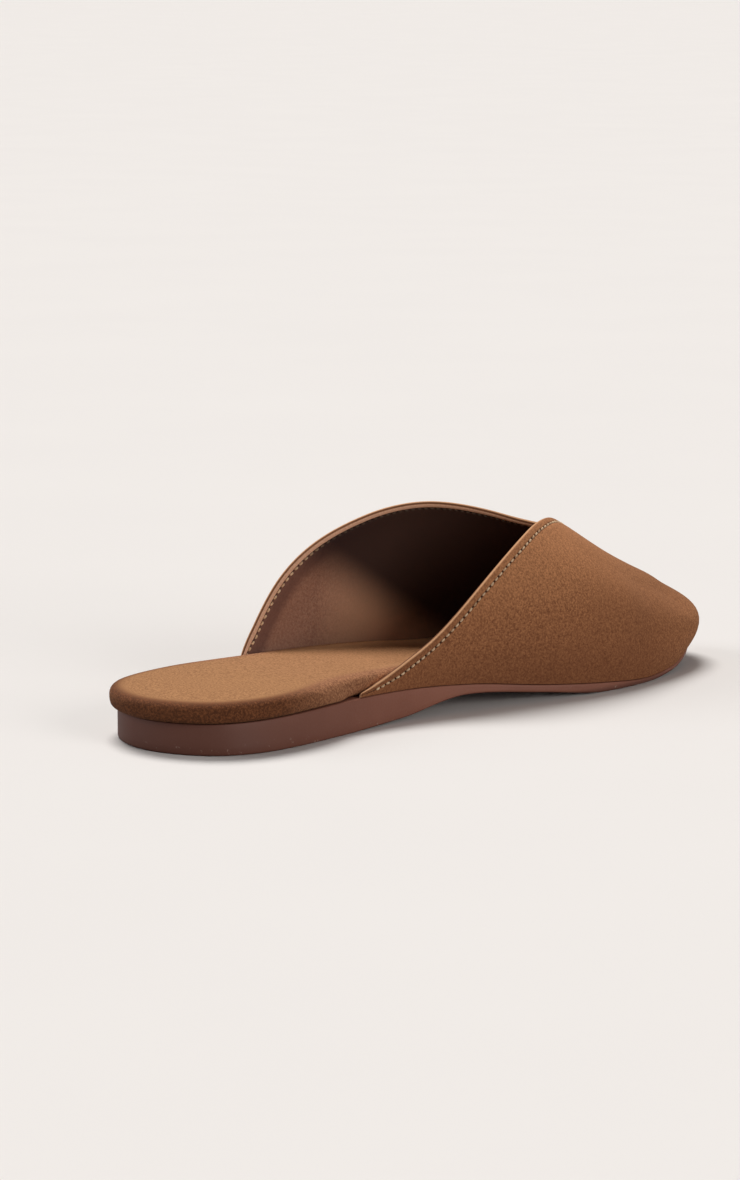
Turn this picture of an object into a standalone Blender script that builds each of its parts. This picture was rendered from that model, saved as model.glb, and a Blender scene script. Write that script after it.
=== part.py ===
"""A flat slip-on mule for the left foot: moulded outsole, padded footbed and one hollow upper.

Frame: metres, toe along +Y, the inner (medial) side at +X, the floor at Z = 0.
The origin lies on the floor, under the middle of the shoe's bounding box.
"""

import math

import bmesh
import bpy
import numpy as np

MM = 0.001

# Driving sizes
SHOE_LENGTH = 250 * MM
BALL_WIDTH = 76 * MM
HEEL_HEIGHT = 11 * MM
INSTEP_HEIGHT = 68 * MM
HEEL_END_RADIUS = 28 * MM
TOE_END_RADIUS = 17 * MM
UPPER_WALL = 1.8 * MM
FOOTBED_THICKNESS = 7.0 * MM
FOOTBED_BACK_OVERHANG = 3.1 * MM
FOOTBED_SIDE_OVERHANG = 0.6 * MM
CLEARANCE = 0.3 * MM
PAD_FIT = 0.5 * MM
SOLE_EDGE = 0.8 * MM
WALL_BULGE = 2.4 * MM
TOE_BULGE = 6.4 * MM

# Outline of the sole's top edge. Shares: station of the length, halves of the ball width.
OUTLINE_COLUMNS = ("station", "medial", "lateral")
OUTLINE = (
    (0.03, 0.272, 0.272),
    (0.13, 0.408, 0.408),
    (0.30, 0.351, 0.421),
    (0.49, 0.355, 0.459),
    (0.69, 0.478, 0.522),
    (0.85, 0.422, 0.424),
    (0.96, 0.238, 0.225),
)

# Side view of the outsole. Shares: station of the length, heights of the heel height.
SOLE_COLUMNS = ("station", "top", "bottom")
SOLE = (
    (0.00, 0.92, 0.00),
    (0.12, 0.96, 0.00),
    (0.25, 1.00, 0.00),
    (0.36, 0.95, 0.10),
    (0.48, 0.79, 0.48),
    (0.60, 0.49, 0.25),
    (0.71, 0.29, 0.00),
    (0.80, 0.16, 0.00),
    (0.87, 0.24, 0.09),
    (0.94, 0.47, 0.33),
    (1.00, 0.62, 0.48),
)

# Ridge of the last above the sole's top edge. Shares: station of the length, rise of the instep
# height, sideways offset of the half ball width towards the medial side.
RIDGE_COLUMNS = ("station", "rise", "offset")
RIDGE = (
    (0.28, 1.15, 0.15),
    (0.40, 1.08, 0.15),
    (0.52, 1.012, 0.15),
    (0.60, 0.937, 0.15),
    (0.68, 0.84, 0.15),
    (0.76, 0.71, 0.13),
    (0.84, 0.566, 0.08),
    (0.91, 0.431, 0.04),
    (0.96, 0.30, 0.01),
    (1.00, 0.00, 0.00),
)

# One row for each rib of the upper, from the medial corner round the toe to the lateral corner.
# The foot is a turn round the outline in degrees, 0 at the heel and 180 at the toe.
# The top is a point of the topline: its angle round the section and its station.
RIB_COLUMNS = ("foot_turn", "top_angle", "top_station")
RIBS = (
    (63.5, 1.0, 0.277),
    (67.5, 2.6, 0.309),
    (72.5, 6.5, 0.350),
    (79.5, 13.0, 0.409),
    (87.0, 23.9, 0.472),
    (94.0, 35.1, 0.524),
    (103.0, 47.9, 0.577),
    (116.0, 62.7, 0.633),
    (133.0, 76.0, 0.681),
    (155.0, 86.0, 0.721),
    (180.0, 92.0, 0.735),
    (205.0, 97.0, 0.732),
    (226.0, 102.6, 0.714),
    (241.0, 106.8, 0.684),
    (252.0, 111.2, 0.636),
    (261.0, 116.7, 0.581),
    (269.0, 124.5, 0.527),
    (276.5, 134.0, 0.462),
    (283.0, 144.3, 0.394),
    (288.5, 155.4, 0.342),
    (293.0, 166.2, 0.306),
    (295.6, 174.0, 0.283),
    (297.0, 178.5, 0.273),
)

# Edge of the footbed from its underside to its top. Shares of the thickness.
PAD_COLUMNS = ("inset", "height")
PAD_EDGE = (
    (0.55, 0.00),
    (0.22, 0.05),
    (0.05, 0.20),
    (0.00, 0.42),
    (0.05, 0.64),
    (0.20, 0.83),
    (0.45, 0.95),
    (0.85, 1.00),
)

# Edge of the outsole from its underside to its top. Shares of the edge rounding.
SOLE_EDGE_COLUMNS = ("inset", "above_bottom", "below_top")
SOLE_EDGE_RINGS = (
    (1.00, 0.00, None),
    (0.30, 0.30, None),
    (0.00, 1.00, None),
    (0.00, None, 0.50),
    (0.45, None, 0.00),
)

SECTION_ROUNDNESS_MEDIAL = 2.25
SECTION_ROUNDNESS_LATERAL = 2.3
SECTION_ROUNDNESS_TOP = 1.9
TOE_BOX_STATION = 0.94
TOE_BULGE_FROM = 0.70
BULGE_SHAPE = 3.5
SPINE_START = 0.12
SPINE_END = 0.90
PAD_INSIDE_FROM = 0.17
PAD_INSIDE_AT = 0.268
OUTLINE_POINTS = 96
RIB_COUNT = 84
RIB_ROWS = 15

# Colour, roughness and metallic value of each material
MATERIALS = {
    "outsole": ((0.16, 0.062, 0.038, 1.0), 0.45, 0.0),
    "footbed": ((0.42, 0.19, 0.075, 1.0), 0.9, 0.0),
    "upper": ((0.36, 0.155, 0.058, 1.0), 0.9, 0.0),
}


def column(rows, names, name):
    """One named column of a table."""
    place = names.index(name)
    return np.array([row[place] for row in rows], float)


def named_rows(rows, names):
    """The rows of a table, each as a dictionary of its named columns."""
    return [dict(zip(names, row)) for row in rows]


def smooth_curve(knots, values):
    """A natural cubic through the values, as a function of the knots' quantity."""
    knots = np.asarray(knots, float)
    values = np.asarray(values, float)
    steps = np.diff(knots)
    slopes = np.diff(values) / steps
    count = len(knots)
    system = np.eye(count)
    right = np.zeros(count)
    for i in range(1, count - 1):
        system[i, i - 1 : i + 2] = steps[i - 1], 2 * (steps[i - 1] + steps[i]), steps[i]
        right[i] = 6 * (slopes[i] - slopes[i - 1])
    bends = np.linalg.solve(system, right)

    def curve(at):
        at = np.asarray(at, float)
        i = np.clip(np.searchsorted(knots, at) - 1, 0, count - 2)
        before = at - knots[i]
        after = knots[i + 1] - at
        step = steps[i]
        bend = bends[i] * after**3 + bends[i + 1] * before**3
        start = (values[i] / step - bends[i] * step / 6) * after
        end = (values[i + 1] / step - bends[i + 1] * step / 6) * before
        return bend / (6 * step) + start + end

    return curve


def level_curve(knots, values):
    """A curve through the values that never overshoots them, so that level stretches stay level."""
    knots = np.asarray(knots, float)
    values = np.asarray(values, float)
    steps = np.diff(knots)
    rises = np.diff(values) / steps
    tangents = np.zeros(len(knots))
    for i in range(1, len(knots) - 1):
        if rises[i - 1] * rises[i] > 0:
            tangents[i] = 2 / (1 / rises[i - 1] + 1 / rises[i])

    def curve(at):
        at = np.asarray(at, float)
        i = np.clip(np.searchsorted(knots, at) - 1, 0, len(knots) - 2)
        u = (at - knots[i]) / steps[i]
        low = values[i] * (1 + 2 * u) * (1 - u) ** 2 + tangents[i] * steps[i] * u * (1 - u) ** 2
        high = values[i + 1] * u**2 * (3 - 2 * u) - tangents[i + 1] * steps[i] * u**2 * (1 - u)
        return low + high

    return curve


def turn_at(station):
    """Turn round the outline, in radians, at which a side reaches this share of the length."""
    return np.arccos(1 - 2 * np.clip(station, 0, 1))


def side_curve(side):
    """Half width of one side over the turn, round at both ends with the named radii."""
    turns = turn_at(column(OUTLINE, OUTLINE_COLUMNS, "station"))
    halves = column(OUTLINE, OUTLINE_COLUMNS, side) * BALL_WIDTH
    heel = math.sqrt(HEEL_END_RADIUS * SHOE_LENGTH / 2)
    toe = math.sqrt(TOE_END_RADIUS * SHOE_LENGTH / 2)
    knots = np.concatenate([[0], turns, [math.pi]])
    fullness = smooth_curve(knots, np.concatenate([[heel], halves / np.sin(turns), [toe]]))
    return lambda turn: np.sin(turn) * fullness(turn)


SIDES = {"medial": side_curve("medial"), "lateral": side_curve("lateral")}
SOLE_STATIONS = column(SOLE, SOLE_COLUMNS, "station")
SOLE_TOP = level_curve(SOLE_STATIONS, column(SOLE, SOLE_COLUMNS, "top") * HEEL_HEIGHT)
SOLE_BOTTOM = level_curve(SOLE_STATIONS, column(SOLE, SOLE_COLUMNS, "bottom") * HEEL_HEIGHT)
RIDGE_TURNS = turn_at(column(RIDGE, RIDGE_COLUMNS, "station"))
RIDGE_RISE = smooth_curve(RIDGE_TURNS, column(RIDGE, RIDGE_COLUMNS, "rise") * INSTEP_HEIGHT)
RIDGE_OFFSET = smooth_curve(
    RIDGE_TURNS, column(RIDGE, RIDGE_COLUMNS, "offset") * BALL_WIDTH / 2
)


def outline(turn):
    """Points of the sole's top edge in plan, for turns from 0 at the heel through pi at the toe."""
    turn = np.asarray(turn, float)
    medial = turn <= math.pi
    folded = np.where(medial, turn, 2 * math.pi - turn)
    x = np.where(medial, SIDES["medial"](folded), -SIDES["lateral"](folded))
    y = SHOE_LENGTH * (1 - np.cos(folded)) / 2
    return np.stack([x, y], -1)


def outward(turn):
    """Unit normals of the outline in plan."""
    step = 1e-3
    along = outline(np.mod(turn + step, 2 * math.pi)) - outline(np.mod(turn - step, 2 * math.pi))
    normal = np.stack([along[..., 1], -along[..., 0]], -1)
    return normal / np.linalg.norm(normal, axis=-1, keepdims=True)


def station_of(plan):
    """Share of the sole's length at which a plan point lies."""
    return np.clip(plan[..., 1] / SHOE_LENGTH, 0, 1)


def level_ring(turns, overhang, surface, lift):
    """The outline moved outwards by the overhang and lifted off a surface of the sole."""
    plan = outline(turns) + outward(turns) * np.reshape(overhang, (-1, 1))
    return np.column_stack([plan, surface(station_of(plan)) + lift])


def spine_ring(turns, surface, lift):
    """The outline gathered onto a straight line along the middle of the sole."""
    station = np.clip((1 - np.cos(turns)) / 2, SPINE_START, SPINE_END)
    plan = np.stack([0 * station, station * SHOE_LENGTH], -1)
    return np.column_stack([plan, surface(station) + lift])


def material(name):
    colour, roughness, metallic = MATERIALS[name]
    made = bpy.data.materials.new(name)
    made.use_nodes = True
    shader = made.node_tree.nodes["Principled BSDF"]
    shader.inputs["Base Color"].default_value = colour
    shader.inputs["Roughness"].default_value = roughness
    shader.inputs["Metallic"].default_value = metallic
    made.diffuse_color = colour
    return made


def grid_object(name, rows, closed, collection, parent):
    """An object whose faces join each row of points to the next one."""
    mesh_maker = bmesh.new()
    grid = [[mesh_maker.verts.new(point) for point in row] for row in rows]
    count = len(grid[0])
    for lower, upper in zip(grid, grid[1:]):
        for i in range(count if closed else count - 1):
            j = (i + 1) % count
            mesh_maker.faces.new((lower[i], lower[j], upper[j], upper[i]))
    bmesh.ops.remove_doubles(mesh_maker, verts=mesh_maker.verts, dist=1e-6)
    bmesh.ops.recalc_face_normals(mesh_maker, faces=mesh_maker.faces)
    mesh = bpy.data.meshes.new(name)
    mesh_maker.to_mesh(mesh)
    mesh_maker.free()
    mesh.shade_smooth()
    mesh.set_sharp_from_angle(angle=math.radians(40))
    mesh.materials.append(material(name))
    made = bpy.data.objects.new(name, mesh)
    made.parent = parent
    collection.objects.link(made)
    return made


def make_outsole(collection, parent):
    turns = np.linspace(0, 2 * math.pi, OUTLINE_POINTS, endpoint=False)
    rows = [spine_ring(turns, SOLE_BOTTOM, 0)]
    for ring in named_rows(SOLE_EDGE_RINGS, SOLE_EDGE_COLUMNS):
        overhang = np.full(len(turns), -ring["inset"] * SOLE_EDGE)
        if ring["below_top"] is None:
            rows.append(level_ring(turns, overhang, SOLE_BOTTOM, ring["above_bottom"] * SOLE_EDGE))
        else:
            rows.append(level_ring(turns, overhang, SOLE_TOP, -ring["below_top"] * SOLE_EDGE))
    rows.append(spine_ring(turns, SOLE_TOP, 0))
    return grid_object("outsole", rows, True, collection, parent)


def pad_overhang(turns):
    """How far the footbed reaches past the sole: over it at the heel, inside the upper in front."""
    station = (1 - np.cos(turns)) / 2
    back = np.clip(np.cos(turns), 0, 1) ** 4
    outside = FOOTBED_SIDE_OVERHANG + (FOOTBED_BACK_OVERHANG - FOOTBED_SIDE_OVERHANG) * back
    inside = -(UPPER_WALL + PAD_FIT)
    share = np.clip((station - PAD_INSIDE_FROM) / (PAD_INSIDE_AT - PAD_INSIDE_FROM), 0, 1)
    return outside + (inside - outside) * share * share * (3 - 2 * share)


def make_footbed(collection, parent):
    turns = np.linspace(0, 2 * math.pi, OUTLINE_POINTS, endpoint=False)
    overhang = pad_overhang(turns)
    rows = [spine_ring(turns, SOLE_TOP, CLEARANCE)]
    for ring in named_rows(PAD_EDGE, PAD_COLUMNS):
        inset = ring["inset"] * FOOTBED_THICKNESS
        lift = CLEARANCE + ring["height"] * (FOOTBED_THICKNESS - CLEARANCE)
        rows.append(level_ring(turns, overhang - inset, SOLE_TOP, lift))
    rows.append(spine_ring(turns, SOLE_TOP, FOOTBED_THICKNESS))
    return grid_object("footbed", rows, True, collection, parent)


def roundness(lateral):
    return np.where(lateral, SECTION_ROUNDNESS_LATERAL, SECTION_ROUNDNESS_MEDIAL)


def section_plan(angle, station):
    """Plan point of the last at an angle round the section, 0 at the medial edge."""
    turn = turn_at(station)
    lateral = angle > math.pi / 2
    edge = np.where(lateral, -SIDES["lateral"](turn), SIDES["medial"](turn))
    share = np.abs(np.cos(angle)) ** (2 / roundness(lateral))
    x = RIDGE_OFFSET(turn) * (1 - share) + edge * share
    return np.stack([x, station * SHOE_LENGTH], -1)


def section_rise(plan):
    """Share of the ridge's rise that the last has over a plan point."""
    turn = turn_at(station_of(plan))
    from_ridge = plan[..., 0] - RIDGE_OFFSET(turn)
    lateral = from_ridge < 0
    edge = np.where(lateral, -SIDES["lateral"](turn), SIDES["medial"](turn))
    span = np.abs(edge - RIDGE_OFFSET(turn))
    share = np.clip(np.abs(from_ridge) / np.maximum(span, 1e-6), 0, 1)
    return np.clip(1 - share ** roundness(lateral), 0, 1) ** (1 / SECTION_ROUNDNESS_TOP)


def rib_values():
    """Foot turns, topline angles and topline stations of all ribs, evenly spread."""
    foot = np.radians(column(RIBS, RIB_COLUMNS, "foot_turn"))
    angle = smooth_curve(foot, np.radians(column(RIBS, RIB_COLUMNS, "top_angle")))
    station = smooth_curve(foot, column(RIBS, RIB_COLUMNS, "top_station"))
    dense = np.linspace(foot[0], foot[-1], 1500)
    ends = np.concatenate([outline(dense), section_plan(angle(dense), station(dense))], -1)
    steps = np.linalg.norm(np.diff(ends, axis=0), axis=1)
    walked = np.concatenate([[0], np.cumsum(steps)])
    turns = np.interp(np.linspace(0, walked[-1], RIB_COUNT), walked, dense)
    return turns, angle(turns), station(turns)


def upper_points():
    """The outer face of the upper: rows from the sole's edge to the topline, one point a rib."""
    turns, angles, stations = rib_values()
    foot = outline(turns)
    top = section_plan(angles, stations)
    normals = outward(turns)
    lateral = turns > math.pi
    climb = np.where(lateral, math.pi - angles, angles)
    climb = np.clip(climb, 0, math.pi / 2)
    power = 2 / roundness(lateral)
    toe_share = np.clip((station_of(foot) - TOE_BULGE_FROM) / (1 - TOE_BULGE_FROM), 0, 1)
    bulge = WALL_BULGE + (TOE_BULGE - WALL_BULGE) * toe_share**2
    full_height = RIDGE_RISE(turn_at(np.minimum(station_of(foot), TOE_BOX_STATION)))
    rows = []
    for step in np.linspace(0, 1, RIB_ROWS):
        reach = np.cos(climb * step) ** power
        last = np.cos(climb) ** power
        along = (reach - last) / (1 - last)
        plan = top + (foot - top) * along[:, None]
        rise = section_rise(plan)
        climbed = rise * RIDGE_RISE(turn_at(station_of(plan)))
        swell = np.clip(climbed / full_height, 0, 1)
        lean = BULGE_SHAPE * swell * (1 - swell**2) ** 2 * bulge
        height = SOLE_TOP(station_of(plan)) + CLEARANCE + climbed
        rows.append(np.column_stack([plan + normals * lean[:, None], height]))
    return rows


def make_upper(collection, parent):
    made = grid_object("upper", upper_points(), False, collection, parent)
    wall = made.modifiers.new("wall", "SOLIDIFY")
    wall.thickness = UPPER_WALL
    wall.offset = -1
    wall.use_even_offset = True
    return made


def centre_on_floor(parent, pieces):
    """Moves the parent so that the origin lies under the middle of the bounding box."""
    bpy.context.view_layer.update()
    graph = bpy.context.evaluated_depsgraph_get()
    corners = [
        piece.evaluated_get(graph).matrix_world @ vertex.co
        for piece in pieces
        for vertex in piece.evaluated_get(graph).data.vertices
    ]
    corners = np.array(corners)
    low = corners.min(axis=0)
    high = corners.max(axis=0)
    parent.location = (-(low[0] + high[0]) / 2, -(low[1] + high[1]) / 2, 0)


def main():
    for obj in list(bpy.data.objects):
        bpy.data.objects.remove(obj, do_unlink=True)
    collection = bpy.data.collections.new("mule_shoe")
    bpy.context.scene.collection.children.link(collection)
    parent = bpy.data.objects.new("mule_shoe_frame", None)
    collection.objects.link(parent)
    pieces = [
        make_outsole(collection, parent),
        make_footbed(collection, parent),
        make_upper(collection, parent),
    ]
    centre_on_floor(parent, pieces)


main()
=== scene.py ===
"""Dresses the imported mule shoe: sewn suede upper, padded footbed, moulded sole, floor and light."""

import math

import bpy
import numpy as np
from mathutils import Matrix, Vector, noise
from mathutils.kdtree import KDTree


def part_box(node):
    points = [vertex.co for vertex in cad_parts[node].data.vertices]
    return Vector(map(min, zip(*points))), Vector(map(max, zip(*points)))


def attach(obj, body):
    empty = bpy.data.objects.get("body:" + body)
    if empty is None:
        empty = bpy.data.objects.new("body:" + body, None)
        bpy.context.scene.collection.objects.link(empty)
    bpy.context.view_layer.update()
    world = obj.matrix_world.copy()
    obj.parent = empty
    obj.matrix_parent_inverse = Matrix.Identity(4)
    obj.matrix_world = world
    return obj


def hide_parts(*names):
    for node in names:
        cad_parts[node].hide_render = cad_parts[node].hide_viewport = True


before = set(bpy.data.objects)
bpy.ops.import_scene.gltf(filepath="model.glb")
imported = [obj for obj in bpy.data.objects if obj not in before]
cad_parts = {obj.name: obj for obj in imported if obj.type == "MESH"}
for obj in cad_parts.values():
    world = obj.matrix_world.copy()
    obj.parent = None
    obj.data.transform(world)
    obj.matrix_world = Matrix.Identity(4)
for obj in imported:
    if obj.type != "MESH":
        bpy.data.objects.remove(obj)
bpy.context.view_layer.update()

MM = 0.001

# Sizes of the shoe, as in its source
SHOE_LENGTH = 250 * MM
BALL_WIDTH = 76 * MM
HEEL_HEIGHT = 11 * MM
INSTEP_HEIGHT = 68 * MM
HEEL_END_RADIUS = 28 * MM
TOE_END_RADIUS = 17 * MM
UPPER_WALL = 1.8 * MM
FOOTBED_THICKNESS = 7.0 * MM
FOOTBED_BACK_OVERHANG = 3.1 * MM
FOOTBED_SIDE_OVERHANG = 0.6 * MM
CLEARANCE = 0.3 * MM
PAD_FIT = 0.25 * MM
SOLE_EDGE = 0.8 * MM
WALL_BULGE = 2.4 * MM
TOE_BULGE = 6.4 * MM
TOE_BOX_STATION = 0.94
TOE_BULGE_FROM = 0.70
BULGE_SHAPE = 3.5
SPINE_START = 0.12
SPINE_END = 0.90
PAD_TOP_IN_FROM = 0.150
PAD_FOOT_IN_FROM = 0.240
PAD_INSIDE_AT = 0.277
SECTION_ROUNDNESS_MEDIAL = 2.25
SECTION_ROUNDNESS_LATERAL = 2.3
SECTION_ROUNDNESS_TOP = 1.9

# Outline of the sole's top edge. Shares: station of the length, halves of the ball width.
OUTLINE_COLUMNS = ("station", "medial", "lateral")
OUTLINE = (
    (0.03, 0.272, 0.272),
    (0.13, 0.408, 0.408),
    (0.30, 0.351, 0.421),
    (0.49, 0.355, 0.459),
    (0.69, 0.478, 0.522),
    (0.85, 0.422, 0.424),
    (0.96, 0.238, 0.225),
)

# Side view of the outsole. Shares: station of the length, heights of the heel height.
SOLE_COLUMNS = ("station", "top", "bottom")
SOLE = (
    (0.00, 0.92, 0.00),
    (0.12, 0.96, 0.00),
    (0.25, 1.00, 0.00),
    (0.36, 0.95, 0.10),
    (0.48, 0.79, 0.48),
    (0.60, 0.49, 0.25),
    (0.71, 0.29, 0.00),
    (0.80, 0.16, 0.00),
    (0.87, 0.24, 0.09),
    (0.94, 0.47, 0.33),
    (1.00, 0.62, 0.48),
)

# Ridge of the last. Shares: station of the length, rise of the instep height, sideways offset.
RIDGE_COLUMNS = ("station", "rise", "offset")
RIDGE = (
    (0.28, 1.15, 0.15),
    (0.40, 1.08, 0.15),
    (0.52, 1.012, 0.15),
    (0.60, 0.937, 0.15),
    (0.68, 0.84, 0.15),
    (0.76, 0.71, 0.13),
    (0.84, 0.566, 0.08),
    (0.91, 0.431, 0.04),
    (0.96, 0.30, 0.01),
    (1.00, 0.00, 0.00),
)

# Ribs of the upper, from the medial corner round the toe to the lateral corner
RIB_COLUMNS = ("foot_turn", "top_angle", "top_station")
RIBS = (
    (63.5, 1.0, 0.277),
    (67.5, 2.6, 0.309),
    (72.5, 6.5, 0.350),
    (79.5, 13.0, 0.409),
    (87.0, 23.9, 0.472),
    (94.0, 35.1, 0.524),
    (103.0, 47.9, 0.577),
    (116.0, 62.7, 0.633),
    (133.0, 76.0, 0.681),
    (155.0, 86.0, 0.721),
    (180.0, 92.0, 0.735),
    (205.0, 97.0, 0.732),
    (226.0, 102.6, 0.714),
    (241.0, 106.8, 0.684),
    (252.0, 111.2, 0.636),
    (261.0, 116.7, 0.581),
    (269.0, 124.5, 0.527),
    (276.5, 134.0, 0.462),
    (283.0, 144.3, 0.394),
    (288.5, 155.4, 0.342),
    (293.0, 166.2, 0.306),
    (295.6, 174.0, 0.283),
    (297.0, 178.5, 0.273),
)

# Hem of the topline: distance from the edge, swelling of the outer face, swelling of the lining
HEM_COLUMNS = ("distance", "outer", "inner")
HEM = (
    (0.9, 0.00, 0.00),
    (1.3, 0.05, 0.03),
    (1.7, 0.06, 0.02),
    (2.1, 0.05, -0.22),
    (2.4, 0.00, -0.30),
    (2.65, -0.16, -0.25),
    (2.9, -0.22, -0.20),
    (3.15, -0.16, -0.12),
    (3.5, -0.03, -0.03),
    (4.2, 0.03, 0.00),
    (5.4, 0.02, 0.00),
    (7.0, 0.00, 0.00),
)
HEM_REACH = 7.0 * MM
HEM_ROOM = 1.05
LEAST_HEM = 0.02
LOW_ROUNDING = 0.12 * MM

# Stitches: the seam's distance from the edge, and its rows in the table of the hem on either face
STITCH_DISTANCE = 2.9 * MM
SEAM_ROW = 6
LINING_ROW = 5
STITCH_PITCH = 2.5 * MM
STITCH_LENGTH = 1.7 * MM
STITCH_THICKNESS = 0.80 * MM
STITCH_SPAN = 1.6 * MM
STITCH_BLUNTNESS = 3.2
STITCH_BOW = 0.22 * MM
STITCH_LIFT = 0.12 * MM
STITCH_SLANT = 0.08
STITCH_WOBBLE = 0.28
STITCHED_HEM_FROM = 0.36

# Rows of the hem that a stitch pulls in, and how far, in millimetres
PUCKERS = ((4, 0.05), (5, 0.10), (6, 0.12), (7, 0.10), (8, 0.05))

# Soft creases of the worn vamp, in millimetres: side (1 medial, -1 lateral), one end along the
# shoe and over the floor, the other end, half width, and rise, which is negative for a trough
FOLDS = (
    (1, 168, 14, 182, 36, 6.0, -0.32),
    (1, 179, 13, 192, 33, 6.5, 0.26),
    (1, 150, 20, 163, 42, 7.0, 0.20),
    (1, 196, 14, 206, 27, 5.5, -0.22),
    (-1, 166, 14, 181, 37, 6.0, -0.30),
    (-1, 178, 13, 192, 34, 6.5, 0.24),
    (-1, 138, 16, 160, 46, 7.5, -0.22),
    (1, 120, 18, 150, 30, 8.0, -0.18),
)
FOLD_END = 1.6
FOLD_SIDE_FROM = 8

# Soft unevenness: rise in millimetres, scale, shift
UPPER_WAVES = ((0.16, 28, (0, 0, 0)), (0.08, 70, (3, 1, 7)))
PAD_WAVES = ((0.18, 22, (0, 0, 0)), (0.07, 90, (0, 0, 0)))
WAVE_FADE = 6 * MM

# Side of the footbed from its underside to its top: inset and height, shares of the thickness
PAD_EDGE = (
    (0.60, 0.000),
    (0.34, 0.004),
    (0.20, 0.030),
    (0.11, 0.085),
    (0.05, 0.170),
    (0.018, 0.290),
    (0.002, 0.430),
    (0.00, 0.560),
    (0.014, 0.680),
    (0.048, 0.780),
    (0.105, 0.860),
    (0.185, 0.920),
    (0.29, 0.960),
    (0.43, 0.985),
    (0.65, 0.998),
    (1.00, 1.005),
)
PAD_CROWN = 0.05
PAD_UNDER = (0, 0.3, 0.6, 0.8)
PAD_TOP_ROWS = 21

# Edges of the sole: inset, and height over the bottom or depth under the top, shares of the
# edge's rounding; then the rows between them, as shares of the way
SOLE_EDGE_RINGS = (
    (1.40, 0.00, None),
    (0.80, 0.06, None),
    (0.38, 0.25, None),
    (0.12, 0.55, None),
    (0.00, 1.00, None),
    (0.00, None, 0.60),
    (0.06, None, 0.30),
    (0.22, None, 0.08),
    (0.50, None, 0.00),
)
SOLE_UNDER = (0, 0.35, 0.7, 0.9)
SOLE_WALL = (0.25, 0.5, 0.75)
SOLE_OVER = (0.1, 0.4, 0.7, 1)

# Mesh counts
RIB_COUNT = 460
RIB_SAMPLES = 160
TOPLINE_POINTS = 6000
BODY_ROWS = 54
RIM_ROWS = 9
LOW_ROWS = 3
CORNER_RIBS = 5
SUEDE_ROWS_INSIDE = 3
PAD_POINTS = 300
SOLE_POINTS = 320

# Finer than any real distance: keeps rows rising, and merges vertices that coincide
LEAST_STEP = 1e-9
MERGE_DISTANCE = 3e-7

# Camera of the photograph, about the middle of the sole
CAMERA_TURN = math.radians(43.4)
CAMERA_DOWN = math.radians(9.6)
CAMERA_ROLL = math.radians(0.24)
CAMERA_DISTANCE = 1.096
PICTURE = (740, 1180)
PIXELS_PER_METRE = 2930
AIM_PIXEL = (424.5, 696.3)


def origin_of_fit():
    """Where the heel's back meets the floor on the axis of the heel, in the frame of the model."""
    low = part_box("outsole")[0]
    widest = side_curve("lateral")(np.linspace(0, math.pi, 721)).max()
    return Vector((low[0] + widest, low[1], 0))


def make_camera(origin):
    right = Vector((math.sin(CAMERA_TURN), math.cos(CAMERA_TURN), 0))
    ahead = Vector((-math.cos(CAMERA_TURN), math.sin(CAMERA_TURN), 0))
    forward = ahead * math.cos(CAMERA_DOWN) - Vector((0, 0, math.sin(CAMERA_DOWN)))
    up = right.cross(forward)
    turn_cos, turn_sin = math.cos(CAMERA_ROLL), math.sin(CAMERA_ROLL)
    right, up = right * turn_cos + up * turn_sin, up * turn_cos - right * turn_sin
    focal = PIXELS_PER_METRE * CAMERA_DISTANCE
    aside = (AIM_PIXEL[0] - PICTURE[0] / 2) / focal * CAMERA_DISTANCE
    above = (PICTURE[1] / 2 - AIM_PIXEL[1]) / focal * CAMERA_DISTANCE
    middle = origin + Vector((0, SHOE_LENGTH / 2, 0))
    place = middle - forward * CAMERA_DISTANCE - right * aside - up * above
    data = bpy.data.cameras.new("product_camera")
    data.sensor_width = 36
    data.lens = focal * data.sensor_width / PICTURE[1]
    data.clip_start = 0.05
    camera = bpy.data.objects.new("product_camera", data)
    turned = Matrix((right, up, -forward)).transposed().to_4x4()
    camera.matrix_world = Matrix.Translation(place) @ turned
    bpy.context.scene.collection.objects.link(camera)
    bpy.context.scene.camera = camera


# Curves of the last

def column(rows, names, name):
    """One named column of a table."""
    place = names.index(name)
    return np.array([row[place] for row in rows], float)


def walked_along(line):
    """Distance walked along a line at each of its points."""
    return np.concatenate([[0], np.cumsum(np.linalg.norm(np.diff(line, axis=0), axis=1))])


def smooth_curve(knots, values):
    """A natural cubic through the values, as a function of the knots' quantity."""
    knots = np.asarray(knots, float)
    values = np.asarray(values, float)
    steps = np.diff(knots)
    slopes = np.diff(values) / steps
    count = len(knots)
    system = np.eye(count)
    right = np.zeros(count)
    for i in range(1, count - 1):
        system[i, i - 1 : i + 2] = steps[i - 1], 2 * (steps[i - 1] + steps[i]), steps[i]
        right[i] = 6 * (slopes[i] - slopes[i - 1])
    bends = np.linalg.solve(system, right)

    def curve(at):
        at = np.asarray(at, float)
        i = np.clip(np.searchsorted(knots, at) - 1, 0, count - 2)
        before = at - knots[i]
        after = knots[i + 1] - at
        step = steps[i]
        bend = bends[i] * after**3 + bends[i + 1] * before**3
        start = (values[i] / step - bends[i] * step / 6) * after
        end = (values[i + 1] / step - bends[i + 1] * step / 6) * before
        return bend / (6 * step) + start + end

    return curve


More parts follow.
